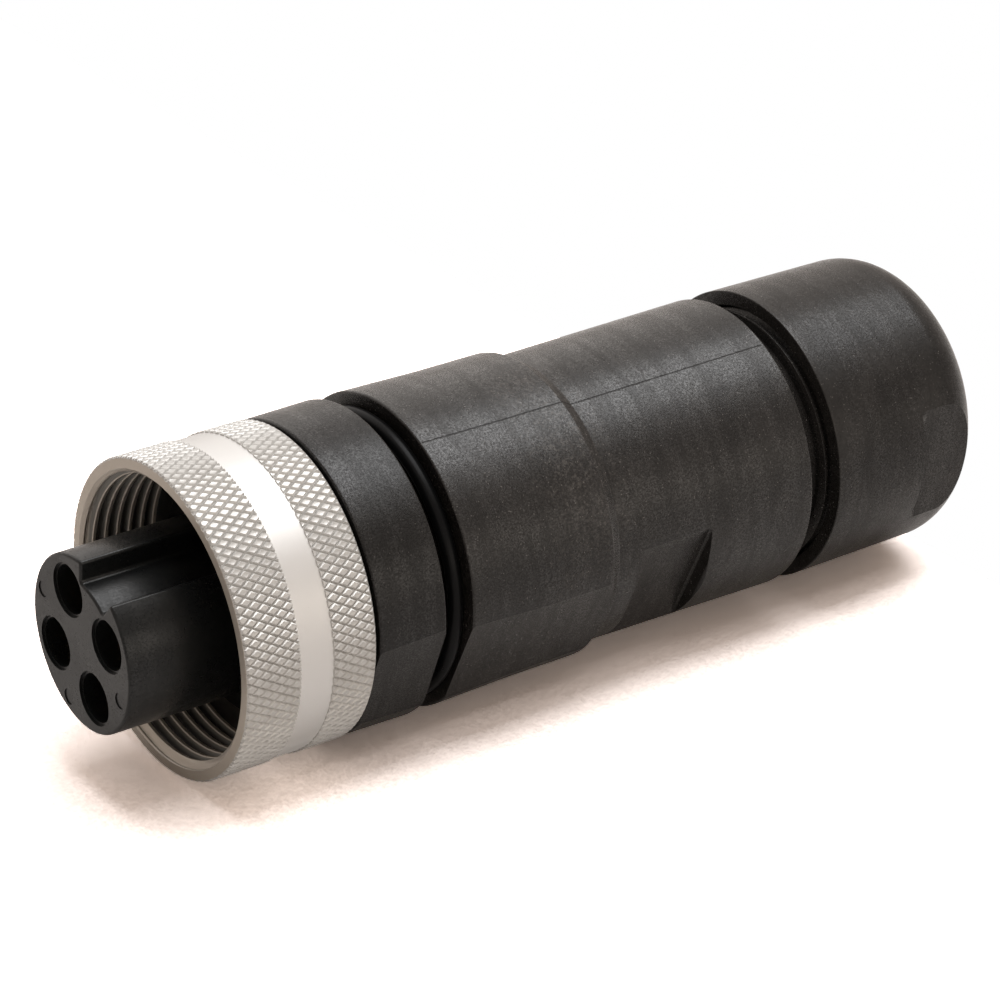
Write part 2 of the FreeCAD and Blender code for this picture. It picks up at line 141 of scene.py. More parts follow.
class Graph:
    """The node graph of one material or of the world."""

    def __init__(self, holder: Material | bpy.types.World) -> None:
        """Start with an empty graph.

        Args:
            holder: what the graph belongs to.
        """
        holder.use_nodes = True
        self.holder = holder
        self.tree = holder.node_tree
        self.tree.nodes.clear()

    def node(self, kind: str, settings: dict | None = None, sockets: dict | None = None) -> bpy.types.Node:
        """Add a node.

        Args:
            kind: the node's type.
            settings: its properties, set first.
            sockets: values, sockets or wrapped values by the input's name or number.

        Returns:
            The node.
        """
        node = self.tree.nodes.new(kind)
        for key, setting in (settings or {}).items():
            setattr(node, key, setting)
        for key, value in (sockets or {}).items():
            named = (socket for socket in node.inputs if socket.name == key and socket.enabled)
            self.feed(node.inputs[key] if isinstance(key, int) else next(named), value)
        return node

    def feed(self, socket: Socket, value: object) -> None:
        """Link a socket or set its value.

        Args:
            socket: the input socket.
            value: a wrapped value, a socket, a number, or a colour or vector as a tuple.
        """
        if isinstance(value, Value):
            value = value.socket
        if isinstance(value, Socket):
            self.tree.links.new(value, socket)
        elif isinstance(value, tuple) and socket.type == "RGBA":
            socket.default_value = (*value, 1.0)
        else:
            socket.default_value = value

    def value(self, node: bpy.types.Node, output: str) -> Value:
        """Return a node's enabled output of this name as a value."""
        return Value(self, next(s for s in node.outputs if s.name == output and s.enabled))

    def math(self, operation: str, *numbers: Value | Number) -> Value:
        """Return the result of a Math node with these numbers."""
        node = self.node("ShaderNodeMath", {"operation": operation}, dict(enumerate(numbers)))
        return Value(self, node.outputs[0])

    def mix(self, factor: Value | Number, first: object, second: object) -> Socket:
        """Return the socket of a mix of two colours, the first at 0 and the second at 1."""
        node = self.node("ShaderNodeMix", {"data_type": "RGBA"}, {"Factor": factor, "A": first, "B": second})
        return next(s for s in node.outputs if s.enabled)

    def place(self) -> Socket:
        """Return the place on the object in millimetres."""
        sockets = {"Vector": self.node("ShaderNodeTexCoord").outputs["Object"], "Scale": 1 / MM}
        return self.node("ShaderNodeVectorMath", {"operation": "SCALE"}, sockets).outputs["Vector"]

    def parts(self, vector: Socket) -> tuple[Value, Value, Value]:
        """Return the x, y and z of a vector."""
        node = self.node("ShaderNodeSeparateXYZ", sockets={"Vector": vector})
        return tuple(Value(self, socket) for socket in node.outputs)

    def vector(self, x: Value | Number, y: Value | Number, z: Value | Number) -> Socket:
        """Return a vector made of three numbers."""
        return self.node("ShaderNodeCombineXYZ", sockets={"X": x, "Y": y, "Z": z}).outputs["Vector"]

    def stretched(self, vector: Socket, factors: tuple[float, float, float]) -> Socket:
        """Return a vector multiplied by one factor along each axis."""
        sockets = {0: vector, 1: factors}
        return self.node("ShaderNodeVectorMath", {"operation": "MULTIPLY"}, sockets).outputs["Vector"]

    def noise(self, vector: Socket, scale: float, detail: float = 2.0, roughness: float = 0.5) -> Value:
        """Return a noise between 0 and 1, where scale is the number of grains to a millimetre."""
        sockets = {"Vector": vector, "Scale": scale, "Detail": detail, "Roughness": roughness}
        return self.value(self.node("ShaderNodeTexNoise", sockets=sockets), "Fac")

    def specks(self, vector: Socket, scale: float, size: float) -> Value:
        """Return 1 on scattered specks, scale of them to a millimetre, with size as their share of it."""
        node = self.node("ShaderNodeTexVoronoi", sockets={"Vector": vector, "Scale": scale})
        return 1 - self.value(node, "Distance").rise(size * 0.6, size)

    def bump(self, height: Value, distance: float) -> Socket:
        """Return the normal of a height, where 1 stands for the distance in millimetres."""
        sockets = {"Height": height, "Distance": distance * MM}
        return self.node("ShaderNodeBump", sockets=sockets).outputs["Normal"]

    def shader(self, kind: str, **sockets: object) -> Socket:
        """Return a new shader's socket; its inputs are named with underscores for blanks."""
        named = {key.replace("_", " "): value for key, value in sockets.items()}
        return self.node(kind, sockets=named).outputs[0]

    def blend(self, factor: Value, first: Socket, second: Socket) -> Socket:
        """Return a mix of two shaders, the first at 0 and the second at 1."""
        return self.node("ShaderNodeMixShader", sockets={0: factor, 1: first, 2: second}).outputs[0]

    def surface(self, **sockets: object) -> Material:
        """End the graph in a Principled shader with these inputs and return the material."""
        return self.finish(self.shader("ShaderNodeBsdfPrincipled", **sockets))

    def finish(self, shader: Socket) -> Material | bpy.types.World:
        """End the graph in a shader and return the material or world that it belongs to."""
        self.node(f"ShaderNodeOutput{type(self.holder).__name__}", sockets={"Surface": shader})
        return self.holder


# Finishes


@dataclass(frozen=True)
class MouldedFinish:
    """Black moulded nylon with a fine glittering grain, a dusty film and scuffs."""

    name: str
    colour: Colour = (0.0045, 0.0040, 0.0037)
    film_colour: Colour = (0.060, 0.054, 0.049)
    film: float = 0.16
    specular: float = 0.26
    roughness: float = 0.23
    grain: float = 4.6
    grain_height: float = 0.036
    glitter: float = 0.75
    dust: float = 0.10
    scuff: float = 0.0
    scuff_height: float = 0.0
    scuff_reach: float = 9.0
    seam_angles_deg: tuple[float, ...] = ()
    seam_bottom: float = 0.0
    seam_top: float = 0.0
    seam_core: float = 0.0028
    seam_edge: float = 0.0062
    seam_colour: Colour = (0.003, 0.003, 0.003)
    dust_colour: Colour = (0.42, 0.39, 0.36)

    def material(self) -> Material:
        """Build the material."""
        graph = Graph(bpy.data.materials.new(self.name))
        place = graph.place()
        x, y, z = graph.parts(place)
        fine = graph.noise(place, self.grain, 4.0, 0.75)
        coarse = graph.noise(place, 0.16, 4.0, 0.6)
        patches = graph.noise(place, 0.9, 5.0, 0.7).rise(0.40, 0.72)
        streaks = graph.noise(graph.stretched(place, (0.16, 0.16, 1.0)), 0.55, 3.0, 0.6)
        film = self.film * (0.45 + 0.8 * coarse.rise(0.35, 0.7) + 0.5 * patches * coarse + 0.4 * streaks)
        if self.scuff:
            film = film + self.scuffs(graph, place, patches)
        mottle = graph.noise(place, 3.3, 2.0, 0.7)
        film = film * (0.8 + 0.4 * mottle.rise(0.35, 0.65))
        colour = graph.mix(film, self.colour, self.film_colour)
        dust = graph.specks(place, 2.2, 0.20) * graph.noise(place, 1.3).rise(0.35, 0.75) * self.dust
        colour = graph.mix(dust, colour, self.dust_colour)
        rough = self.roughness + (coarse - 0.5) * 0.10 + (fine - 0.5) * 0.20
        glitter = fine.rise(0.40, 0.66) * (0.65 + 0.7 * streaks.rise(0.38, 0.62)) * self.glitter
        height = fine + streaks * 2.0
        if self.seam_angles_deg:
            seam = self.seam(y.math("ARCTAN2", x) + (mottle - 0.5) * 0.0010, z)
            height = height - seam * 8.0
            colour = graph.mix(seam * 0.9, colour, self.seam_colour)
            glitter = glitter * (1 - seam * 0.8)
            rough = rough + seam * 0.25
        return graph.surface(Base_Color=colour, Roughness=rough, Specular_IOR_Level=self.specular,
                             Coat_Weight=glitter, Coat_Roughness=0.26,
                             Normal=graph.bump(height, self.grain_height))

    def scuffs(self, graph: Graph, place: Socket, patches: Value) -> Value:
        """Return the rough scuffs on the side with negative Y, round one height.

        Args:
            graph: the material's graph.
            place: the place in millimetres.
            patches: soft patches between 0 and 1.

        Returns:
            The strength as a value.
        """
        _, y, z = graph.parts(place)
        broken = graph.noise(place, 2.6, 4.0, 0.75).rise(0.46, 0.62)
        near = 1 - abs(z - self.scuff_height).rise(1.0, self.scuff_reach)
        side = 1 - y.rise(-19.0, 0.0)
        return near * side * broken * (0.3 + patches) * self.scuff

    def seam(self, angle: Value, z: Value) -> Value:
        """Return 1 on the thin lines where the halves of the mould met.

        Args:
            angle: the angle round the axis.
            z: the height in millimetres.

        Returns:
            The mask as a value.
        """
        lines = [1 - abs(angle - math.radians(angle_deg)).rise(self.seam_core, self.seam_edge)
                 for angle_deg in self.seam_angles_deg]
        return sum(lines) * z.inside(self.seam_bottom, self.seam_top, 0.1)


@dataclass(frozen=True)
class TurnedMetalFinish:
    """Satin turned metal with fine tool lines round the axis; on the nut, painted shade darkens the front
    face, the bore and the thread roots.
    """

    name: str
    colour: Colour
    dark: Colour
    roughness: float
    lines_per_mm: float = 9.0
    line_height: float = 0.002
    face_height: float = 0.0
    # painted shade: the nut's front face and the inside of its bore take this darker, warmer colour
    face_colour: Colour = (0.2, 0.2, 0.2)
    band_bottom: float = 0.0
    band_top: float = 0.0
    band_colour: Colour = (0.2, 0.2, 0.2)
    # painted shade: the thread's roots and flanks deep in the bore take this dark colour
    thread_colour: Colour = (0.10, 0.10, 0.095)
    thread_inner: float = 16.72
    thread_outer: float = 17.6
    thread_lead_in: float = 1.0

    def material(self) -> Material:
        """Build the material."""
        graph = Graph(bpy.data.materials.new(self.name))
        place = graph.place()
        x, y, z = graph.parts(place)
        radius = (x * x + y * y) ** 0.5
        angle = y.math("ARCTAN2", x)
        turned = graph.vector(radius * self.lines_per_mm, angle * 1.2, z * self.lines_per_mm)
        lines = graph.noise(turned, 1.0, 4.0, 0.7)
        cloud = graph.noise(place, 0.5, 4.0, 0.6)
        pits = graph.specks(place, 1.3, 0.09) * graph.noise(place, 0.8).rise(0.5, 0.62)
        colour = graph.mix(cloud.rise(0.35, 0.7) * 0.35 + lines * 0.25, self.colour, self.dark)
        colour = graph.mix(pits * 0.5, colour, self.dark)
        rough = self.roughness + (lines - 0.5) * 0.10 + (cloud - 0.5) * 0.10
        if self.face_height:
            face = z.rise(self.face_height - 0.03, self.face_height - 0.01)
            # painted shade: the front face and everything inside the thread's outer radius take the darker
            # face colour
            inside = 1 - radius.rise(self.thread_outer - 0.2, self.thread_outer)
            band = z.inside(self.band_bottom, self.band_top, 0.02)
            colour = graph.mix(band * (1 - pits * 0.3), colour, self.band_colour)
            colour = graph.mix(face.math("MAXIMUM", inside), colour, self.face_colour)
            # painted shade: the thread's roots and flanks darken, short of the lead-in at the mouth
            end = self.face_height - self.thread_lead_in
            root = radius.inside(self.thread_inner, self.thread_outer, 0.06)
            colour = graph.mix(root * (1 - z.rise(end - 0.1, end + 0.1)) * 0.85, colour, self.thread_colour)
        return graph.surface(Base_Color=colour, Roughness=rough, Metallic=0.65,
                             Normal=graph.bump(lines, self.line_height))


@dataclass(frozen=True)
class RubberFinish:
    """Smooth black rubber."""

    name: str
    colour: Colour = (0.0035, 0.0035, 0.0036)
    worn_colour: Colour = (0.008, 0.008, 0.009)
    roughness: float = 0.30
    grain_height: float = 0.004

    def material(self) -> Material:
        """Build the material."""
        graph = Graph(bpy.data.materials.new(self.name))
        place = graph.place()
        cloud = graph.noise(place, 0.4, 3.0)
        fine = graph.noise(place, 5.0, 2.0)
        colour = graph.mix(cloud * 0.5, self.colour, self.worn_colour)
        rough = self.roughness + (cloud - 0.5) * 0.15
        return graph.surface(Base_Color=colour, Roughness=rough, Specular_IOR_Level=0.10,
                             Normal=graph.bump(fine, self.grain_height))


# Meshes


def outwards(angle: float) -> Vector:
    """Return the direction straight out from the axis at an angle."""
    return Vector((math.cos(angle), math.sin(angle), 0.0))


def whole(mesh: BMesh) -> list:
    """Return all vertices, edges and faces of a mesh."""
    return mesh.verts[:] + mesh.edges[:] + mesh.faces[:]


def cut(mesh: BMesh, point: Sequence[float], normal: Sequence[float], clear: bool,
        snap: float = 1e-5) -> None:
    """Cut a whole mesh along a plane, and clear what lies beyond the plane if asked to."""
    bmesh.ops.bisect_plane(mesh, geom=whole(mesh), dist=snap, plane_co=point, plane_no=normal,
                           clear_outer=clear)


def merge(mesh: BMesh, distance: float) -> None:
    """Merge the vertices that lie within a distance of each other."""
    bmesh.ops.remove_doubles(mesh, verts=mesh.verts[:], dist=distance)


def clean(mesh: BMesh, distance: float = 1e-4) -> None:
    """Merge doubles and turn the faces outwards."""
    merge(mesh, distance)
    bmesh.ops.recalc_face_normals(mesh, faces=mesh.faces[:])


def scale(mesh: BMesh, factor: float) -> None:
    """Scale a mesh evenly."""
    bmesh.ops.scale(mesh, vec=(factor,) * 3, verts=mesh.verts[:])


def add_object(name: str, data: bpy.types.ID) -> Object:
    """Add an object to the scene.

    Args:
        name: its name.
        data: its mesh, lamp or camera.

    Returns:
        The object.
    """
    added = bpy.data.objects.new(name, data)
    bpy.context.scene.collection.objects.link(added)
    return added


def add_mesh(name: str, mesh: BMesh, material: Material) -> Object:
    """Add an object with a mesh to the scene and free the mesh.

    Args:
        name: the object's name.
        mesh: its mesh.
        material: its finish.

    Returns:
        The object.
    """
    data = bpy.data.meshes.new(name)
    mesh.to_mesh(data)
    mesh.free()
    data.materials.append(material)
    return add_object(name, data)


@dataclass(frozen=True)
class Corner:
    """A corner of a profile, with the radius that rounds it."""

    radius: float
    height: float
    rounding: float = 0.0


class Shape:
    """A mesh in millimetres that is shaped by mesh operators and then becomes a piece."""

    def __init__(self, name: str) -> None:
        """Start an empty shape with the piece's name."""
        self.name = name
        self.mesh = bmesh.new()

    @staticmethod
    def rounded(corners: Sequence[Corner], closed: bool, segments: int) -> list[Vector]:
        """Round the corners of a profile in the XZ plane.

        Args:
            corners: the corners in order.
            closed: whether the last corner joins the first.
            segments: edges in each rounding.

        Returns:
            The profile's points in order.
        """
        draft = bmesh.new()
        points = [draft.verts.new((corner.radius, 0.0, corner.height)) for corner in corners]
        places = [point.co.copy() for point in points]
        following = points[1:] + points[:1] if closed else points[1:]
        for start, end in zip(points, following):
            draft.edges.new((start, end))
        for index, corner in enumerate(corners):
            if corner.rounding > 0:
                before = places[index - 1] - places[index]
                after = places[(index + 1) % len(places)] - places[index]
                reach = corner.rounding / math.tan(before.angle(after) / 2)
                bmesh.ops.bevel(draft, geom=[points[index]], offset=reach, offset_type="OFFSET",
                                affect="VERTICES", segments=segments, profile=0.5, material=-1)
        order = [next((vert for vert in draft.verts if len(vert.link_edges) == 1), draft.verts[:][0])]
        while order[-1] is not None:
            near = [edge.other_vert(order[-1]) for edge in order[-1].link_edges]
            order.append(next((vert for vert in near if vert not in order), None))
        found = [vert.co.copy() for vert in order[:-1]]
        draft.free()
        return found

    def profile(self, corners: Sequence[Corner], closed: bool, segments: int = 9) -> list[BMEdge]:
        """Draw a profile in the XZ plane and round its corners.

        Args:
            corners: the corners in order.
            closed: whether the last corner joins the first.
            segments: edges in each rounding.

        Returns:
            The profile's edges.
        """
        verts = [self.mesh.verts.new(point) for point in self.rounded(corners, closed, segments)]
        following = verts[1:] + verts[:1] if closed else verts[1:]
        return [self.mesh.edges.new(pair) for pair in zip(verts, following)]

    def spin(self, edges: Sequence[BMEdge], steps: int, rise: float = 0.0) -> None:
        """Turn a profile once round the axis.

        Args:
            edges: the profile's edges.
            steps: faces round the axis.
            rise: how far each step climbs; a turn without a climb is closed.
        """
        verts = list(dict.fromkeys(vert for edge in edges for vert in edge.verts))
        bmesh.ops.spin(self.mesh, geom=verts + list(edges), cent=ORIGIN, axis=AXIS, dvec=(0, 0, rise),
                       angle=FULL_TURN, steps=steps, use_merge=not rise, use_duplicate=False)

    def turn(self, corners: Sequence[Corner], steps: int, segments: int = 9) -> None:
        """Turn a closed profile with rounded corners all the way round the axis."""
        self.spin(self.profile(corners, True, segments), steps)
        clean(self.mesh)

    def copy_node(self, node: str) -> None:
        """Take a merged copy of a node's mesh.

        Args:
            node: the node's name.
        """
        self.mesh.from_mesh(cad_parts[node].data)
        scale(self.mesh, 1 / MM)
        merge(self.mesh, 1e-3)

    def ring_cut(self, height: float) -> None:
        """Cut an edge loop round the shape at a height."""
        cut(self.mesh, (0, 0, height), AXIS, False)

    def press(self, corners: Sequence[Corner], angle_deg: float, segments: int = 5) -> None:
        """Press a profile right across the outside of the shape, on two opposite sides.

        Args:
            corners: the profile's corners, from low to high, as distances from the axis.
            angle_deg: the direction that one side faces.
            segments: edges in each rounding.
        """
        points = self.rounded(corners, False, segments)
        if points[0].z > points[-1].z:
            points.reverse()
        for point in points:
            self.ring_cut(point.z)
        for half in (0.0, math.pi):
            facing = outwards(math.radians(angle_deg) + half)
            for low, high in zip(points, points[1:]):
                self.press_band(low, high, facing)

    def press_band(self, low: Vector, high: Vector, facing: Vector) -> None:
        """Press the plane between two points of a profile into the outside of the shape.

        Args:
            low: the lower point.
            high: the upper point.
            facing: the direction that the plane faces, across the axis.
        """
        slope = (high.x - low.x) / (high.z - low.z)
        normal = (facing - Vector((0.0, 0.0, slope))).normalized()
        start = facing * low.x + Vector((0.0, 0.0, low.z))
        parts = {}
        for face in self.mesh.faces:
            middle = face.calc_center_median()
            if low.z - 1e-3 < middle.z < high.z + 1e-3 and middle.dot(facing) > 0.7 * low.x:
                parts.update(dict.fromkeys((face, *face.edges, *face.verts)))
        bmesh.ops.bisect_plane(self.mesh, geom=list(parts), dist=1e-5, plane_co=start, plane_no=normal)
        for vert in self.mesh.verts:
            beyond = vert.co.dot(facing) - low.x - slope * (vert.co.z - low.z)
            if beyond > 0 and low.z - 1e-4 < vert.co.z < high.z + 1e-4:
                vert.co -= facing * beyond

    def take(self, other: BMesh) -> None:
        """Clean a closed part and add it to the shape.

        Args:
            other: the part, which is freed.
        """
        clean(other, 2e-4)
        data = bpy.data.meshes.new("part")
        other.to_mesh(data)
        other.free()
        self.mesh.from_mesh(data)
        bpy.data.meshes.remove(data)

    def mark_sharp(self, sharp_deg: float, level_apart: bool) -> None:
        """Shade the faces smooth and keep the sharp edges.

        Args:
            sharp_deg: edges that turn more than this stay sharp.
            level_apart: whether the rims of level faces stay sharp too.
        """
        for face in self.mesh.faces:
            face.smooth = True
        for edge in self.mesh.edges:
            rim = len({abs(face.normal.z) > 0.9999 for face in edge.link_faces}) > 1
            even = edge.calc_face_angle(math.pi) < math.radians(sharp_deg)
            edge.smooth = even and not (level_apart and rim)

    def piece(self, material: Material, body: Body, slot: Slot, nodes: Sequence[str],
              sharp_deg: float = 13.0, level_apart: bool = False) -> Object:
        """Make the piece and free the shape.

        Args:
            material: its finish.
            body: the body it rides on.
            slot: the record's material slot; not used.
            nodes: the nodes it replaces.
            sharp_deg: edges sharper than this stay sharp in the shading.
            level_apart: whether the rims of level faces stay sharp too.

        Returns:
            The piece.
        """
        self.mesh.normal_update()
        self.mark_sharp(sharp_deg, level_apart)
        scale(self.mesh, MM)
        piece = add_mesh(self.name, self.mesh, material)
        piece.modifiers.new("weighted_normals", "WEIGHTED_NORMAL").keep_sharp = True
        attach(piece, body.value)
        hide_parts(*nodes)
        log.info("%s: %d faces", self.name, len(piece.data.polygons))
        return piece


# Sub-assemblies


@dataclass
class Thread:
    """Right-hand thread with a helical tooth, inside or outside, sunk into the wall that carries it."""

    crest: float
    root: float
    pitch: float
    bottom: float
    top: float
    wall: float
    chamfer: float = 0.0
    steps: int = 204

    def build(self) -> BMesh:
        """Spin a row of teeth along a helix, trim both ends, chamfer the upper one and close the body.

        Returns:
            The closed body.
        """
        thread = Shape("thread")
        mesh = thread.mesh
        thread.spin(thread.profile(self.teeth(), False, 2), self.steps, self.pitch / self.steps)
        merge(mesh, 2e-3)
        cut(mesh, (0, 0, self.bottom), (0, 0, -1), True)
        cut(mesh, (0, 0, self.top), AXIS, True)
        for share in (0.17, 0.33, 0.5, 0.67, 0.83, 1.0):
            thread.ring_cut(self.top - share * max(self.chamfer, 0.05))
        sense = 1.0 if self.root > self.crest else -1.0
        for vert in mesh.verts:
            radius = sense * math.hypot(vert.co.x, vert.co.y)
            least = sense * self.crest + self.chamfer - (self.top - vert.co.z)
            if radius < least:
                self.widen(vert, abs(least))
        self.close(mesh)
        return mesh

    def teeth(self) -> list[Corner]:
        """Draw a row of teeth that is long enough to be trimmed.

        Returns:
            The corners in order.
        """
        flank = abs(self.root - self.crest) * math.tan(math.radians(30.0))
        root_flat = self.pitch / 8
        crest_flat = self.pitch - 2 * flank - root_flat
        turns = math.ceil((self.top - self.bottom) / self.pitch) + 2
        start = self.bottom - self.pitch
        corners: list[Corner] = []
        for index in range(turns):
            foot = start + index * self.pitch
            corners += [
                Corner(self.crest, foot, 0.04),
                Corner(self.crest, foot + crest_flat / 2),
                Corner(self.crest, foot + crest_flat, 0.04),
                Corner(self.root, foot + crest_flat + flank, 0.05),
                Corner(self.root, foot + crest_flat + flank + root_flat, 0.05),
                Corner((self.crest + self.root) / 2, foot + self.pitch - flank / 2),
            ]
        corners[0] = Corner(self.crest, start)
        corners.append(Corner(self.crest, start + turns * self.pitch))
        return corners

    def close(self, mesh: BMesh) -> None:
        """Close the body along the wall that carries it.

        Args:
            mesh: the trimmed thread.
        """
        rims = []
        for low in (True, False):
            rim = [edge for edge in mesh.edges if edge.is_boundary
                   and ((edge.verts[0].co.z < (self.top + self.bottom) / 2) == low)]
            made = bmesh.ops.extrude_edge_only(mesh, edges=rim)["geom"]
            for vert in (item for item in made if isinstance(item, BMVert)):
                self.widen(vert, self.wall)
            rims += [item for item in made if isinstance(item, BMEdge)]
        bmesh.ops.bridge_loops(mesh, edges=rims)

    @staticmethod
    def widen(vert: BMVert, radius: float) -> None:
        """Move a vertex straight out to a radius, or in to it.

        Args:
            vert: the vertex.
            radius: the radius.
        """
        share = radius / math.hypot(vert.co.x, vert.co.y)
        vert.co.x *= share
        vert.co.y *= share


@dataclass
class CouplingNut:
    """Turned nut with two knurled bands, a plain band and a helical thread."""

    bottom: float = 90.4
    top: float = 107.2
    crest_radius: float = 18.92
    band_radius: float = 18.70
    band_bottom: float = 96.0
    band_top: float = 100.3
    chamfer: float = 0.26
    lip_radius: float = 14.9
    lip_top: float = 94.2
    relief_radius: float = 17.5
    knurl_count: int = 102
    knurl_rise: float = 1.95
    knurl_depth: float = 0.26
    knurl_insets: tuple[tuple[float, float], ...] = ((0.13, 0.17), (0.08, 0.07), (0.13, -0.03))
    knurl_trim: float = 0.005
    knurl_sunk: float = -0.2
    thread_crest: float = 16.6
    thread_root: float = 17.46
    thread_pitch: float = 1.5875
    thread_bottom: float = 97.5
    thread_wall: float = 18.1
    mouth_radius: float = 17.5
    steps: int = 204

    def build(self, material: Material) -> Object:
        """Build and dress the nut.

        Args:
            material: its finish.

        Returns:
            The piece.
        """
        shape = Shape("coupling_nut_knurled")
        self.add_body(shape)
        self.add_knurl(shape, self.band_top, self.top, True)
        self.add_knurl(shape, self.bottom, self.band_bottom, False)
        self.add_thread(shape)
        return shape.piece(material, Body.COUPLING_NUT, Slot.NUT_METAL, ["coupling_nut"], sharp_deg=40.0)

    def add_body(self, shape: Shape) -> None:
        """Turn the plain body that carries knurl and thread.

        Args:
            shape: the shape to add to.
        """
        under = self.crest_radius - self.knurl_depth - 0.05
        seat = self.thread_wall - 0.3
        shape.turn([
            Corner(self.lip_radius, self.bottom, 0.2),
            Corner(under, self.bottom, 0.1),
            Corner(under, self.band_bottom - 0.1),
            Corner(self.band_radius, self.band_bottom - 0.1),
            Corner(self.band_radius, self.band_top + 0.1),
            Corner(under, self.band_top + 0.1),
            Corner(under, self.top),
            Corner(self.mouth_radius + 0.02, self.top, 0.05),
            Corner(self.mouth_radius + 0.02, self.top - 0.3),
            Corner(seat, self.top - 0.3),
            Corner(seat, self.thread_bottom + 0.2),
            Corner(self.relief_radius, self.thread_bottom + 0.2),
            Corner(self.relief_radius, self.lip_top, 0.3),
            Corner(self.lip_radius, self.lip_top, 0.2),
        ], self.steps, 3)

    def add_knurl(self, shape: Shape, bottom: float, top: float, mouth_end: bool) -> None:
        """Form one pitch of a knurled band flat, bend it and repeat it round the nut.

        Args:
            shape: the shape to add to.
            bottom: where the band starts.
            top: where it ends.
            mouth_end: whether the band ends in the chamfer at the mouth, or else at the rear.
        """
        pitch = FULL_TURN * self.crest_radius / self.knurl_count
        strip = bmesh.new()
        bmesh.ops.create_grid(strip, x_segments=10, y_segments=10, size=5.0)
        eighth = Matrix.Rotation(math.pi / 4, 3, "Z")
        bmesh.ops.rotate(strip, cent=ORIGIN, matrix=eighth, verts=strip.verts[:])
        side = math.sqrt(2.0)
        bmesh.ops.scale(strip, vec=(pitch / side, self.knurl_rise / side, 1.0), verts=strip.verts[:])
        bmesh.ops.translate(strip, vec=(0, (bottom + top) / 2, 0), verts=strip.verts[:])
        for width, depth in self.knurl_insets:
            tops = [face for face in strip.faces if face.calc_area() > 0.2 and face.normal.z > 0.999]
            bmesh.ops.inset_individual(strip, faces=tops, thickness=width, depth=depth, use_even_offset=True)
        end, sense = (top, 1.0) if mouth_end else (bottom, -1.0)
        bottom += self.knurl_trim
        top -= self.knurl_trim
        for point, normal in (
            ((-pitch / 2, 0, 0), (-1, 0, 0)),
            ((pitch / 2, 0, 0), (1, 0, 0)),
            ((0, bottom, 0), (0, -1, 0)),
            ((0, top, 0), (0, 1, 0)),
            ((0, end, self.knurl_depth - self.chamfer), (0, sense, 1)),
        ):
            cut(strip, point, normal, True, 1e-6)
        self.close_strip(strip, pitch, bottom, top)
        inner = self.crest_radius - self.knurl_depth
        for vert in strip.verts:
            angle = vert.co.x / self.crest_radius
            radius = inner + vert.co.z
            vert.co = Vector((radius * math.cos(angle), radius * math.sin(angle), vert.co.y))
        others = self.knurl_count - 1
        bmesh.ops.spin(strip, geom=whole(strip), cent=ORIGIN, axis=AXIS, dvec=ORIGIN,
                       angle=FULL_TURN * (1 - 1 / self.knurl_count), steps=others, use_duplicate=True)
        shape.take(strip)

    def close_strip(self, strip: BMesh, pitch: float, bottom: float, top: float) -> None:
        """Close the ends and the underside of a flat strip of knurl.

        Args:
            strip: the strip.
            pitch: its width.
            bottom: its lower end.
            top: its upper end.
        """
        for low in (True, False):
            rim = [edge for edge in strip.edges if edge.is_boundary
                   and all(abs(vert.co.x) < pitch / 2 + 1e-4 for vert in edge.verts)
                   and abs(edge.verts[0].co.x - edge.verts[1].co.x) > 1e-5
                   and ((edge.verts[0].co.y < (bottom + top) / 2) == low)]
            made = bmesh.ops.extrude_edge_only(strip, edges=rim)["geom"]
            fresh = [item for item in made if isinstance(item, BMVert)]
            for vert in fresh:
                vert.co.yz = bottom if low else top, self.knurl_sunk
            inner = [vert for vert in fresh if abs(vert.co.x) < pitch / 2 - 1e-4]
            bmesh.ops.dissolve_verts(strip, verts=inner)
        corners = [vert for vert in strip.verts if vert.co.z < self.knurl_sunk + 1e-5]
        bmesh.ops.contextual_create(strip, geom=corners)

    def add_thread(self, shape: Shape) -> None:
        """Add the inner thread to the shape."""
        thread = Thread(self.thread_crest, self.thread_root, self.thread_pitch, self.thread_bottom,
                        self.top - 0.01, self.thread_wall, self.mouth_radius - self.thread_crest)
        shape.take(thread.build())


@dataclass
class FrontCollar:
    """Moulded collar with a gripping band, two flats, the hub of the nut and the spigot."""

    bottom: float = 67.9
    band_bottom: float = 81.0
    band_top: float = 89.9
    band_radius: float = 18.8
    taper: float = 0.12
    flat_distance: float = 17.8
    edge_rounding: float = 0.35
    hub_radius: float = 14.6
    hub_top: float = 96.7
    groove_radius: float = 13.7
    groove_bottom: float = 94.4
    groove_top: float = 95.6
    bore_radius: float = 12.25
    lip_bottom: float = 94.5
    lip_radius: float = 10.55
    spigot_radius: float = 15.6
    steps: int = 240

    def build(self, material: Material) -> Object:
        """Build and dress the collar.

        Args:
            material: its finish.

        Returns:
            The piece.
        """
        shape = Shape("front_collar_moulding")
        shape.turn([
            Corner(self.bore_radius, self.bottom),
            Corner(self.spigot_radius, self.bottom, 0.3),
            Corner(self.spigot_radius, self.band_bottom),
            Corner(self.band_radius + self.taper, self.band_bottom, self.edge_rounding),
            Corner(self.band_radius, self.band_top, self.edge_rounding),
            Corner(self.hub_radius, self.band_top),
            Corner(self.hub_radius, self.groove_bottom),
            Corner(self.groove_radius, self.groove_bottom),
            Corner(self.groove_radius, self.groove_top),
            Corner(self.hub_radius, self.groove_top),
            Corner(self.hub_radius, self.hub_top, 0.15),
            Corner(self.lip_radius, self.hub_top),
            Corner(self.lip_radius, self.lip_bottom),
            Corner(self.bore_radius, self.lip_bottom),
        ], self.steps)
        flat = [Corner(self.flat_distance, self.band_bottom), Corner(self.flat_distance, self.band_top)]
        shape.press(flat, 0.0)
        return shape.piece(material, Body.CONNECTOR, Slot.HOUSING, ["front_collar"])


